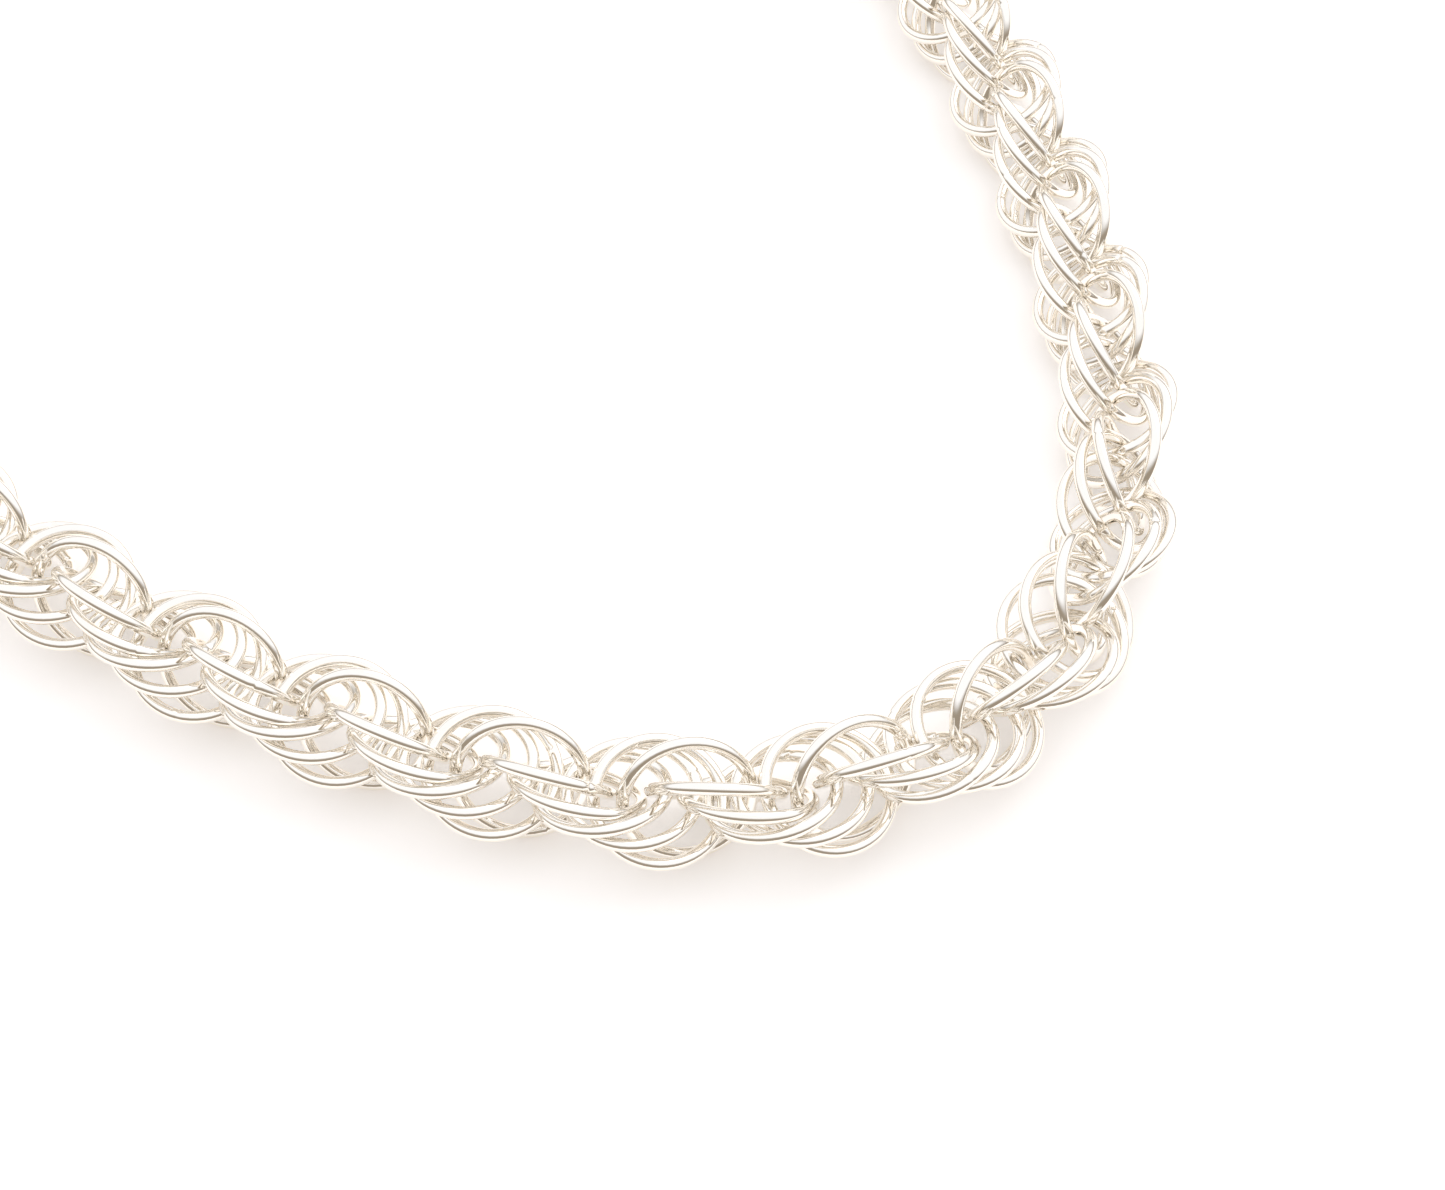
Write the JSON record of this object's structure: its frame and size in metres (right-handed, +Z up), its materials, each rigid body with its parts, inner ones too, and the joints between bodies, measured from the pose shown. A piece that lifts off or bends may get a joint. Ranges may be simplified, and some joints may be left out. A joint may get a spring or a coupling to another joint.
{
  "type": "rope chain necklace",
  "caption": "Necklace of interlocked round wire links laid as a thick right-handed rope chain, closed by a plain hook between two end rings, lying in a loose loop.",
  "frame": {"origin": "middle of the necklace's box, on the surface that it lies on", "axes": "+Z up from the surface, +Y from the front bend towards the hook, +X to the right as seen from the front"},
  "size_m": [0.1432, 0.1576, 0.0099],
  "materials": {
    "rope_silver": "polished silver",
    "clasp_silver": "polished silver"
  },
  "bodies": {
    "root": {"rope_chain": "rope_silver", "end_ring_left": "clasp_silver", "end_ring_right": "clasp_silver", "clasp_hook": "clasp_silver"}
  },
  "joints": []
}
